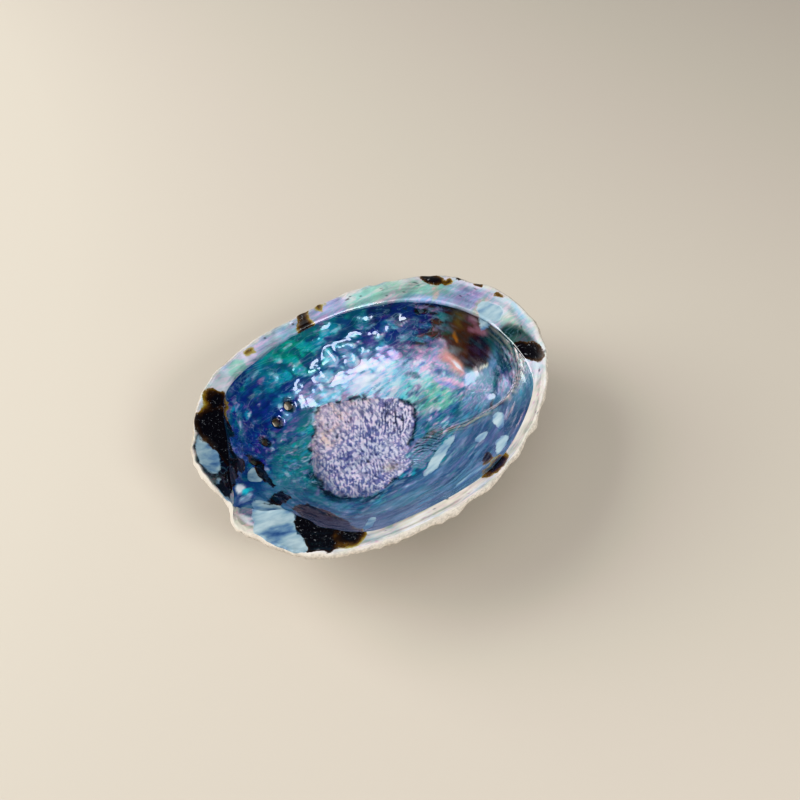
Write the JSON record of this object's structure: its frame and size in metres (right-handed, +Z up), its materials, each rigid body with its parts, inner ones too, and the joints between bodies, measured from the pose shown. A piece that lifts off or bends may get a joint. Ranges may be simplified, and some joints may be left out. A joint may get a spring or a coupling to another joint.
{
  "type": "abalone shell",
  "caption": "Empty abalone shell lying on its back, with an iridescent nacre hollow, a flat shelf along one side and a row of pores.",
  "frame": {"origin": "under the middle of the shell's box, on the surface that it lies on", "axes": "+X along the shell towards the spire end, +Y towards the side with the flat shelf, +Z up out of the hollow"},
  "size_m": [0.1504, 0.1128, 0.039],
  "materials": {
    "shell": "polished iridescent nacre inside, chalky and weathered outside"
  },
  "bodies": {
    "root": {"shell": "shell"}
  },
  "joints": []
}
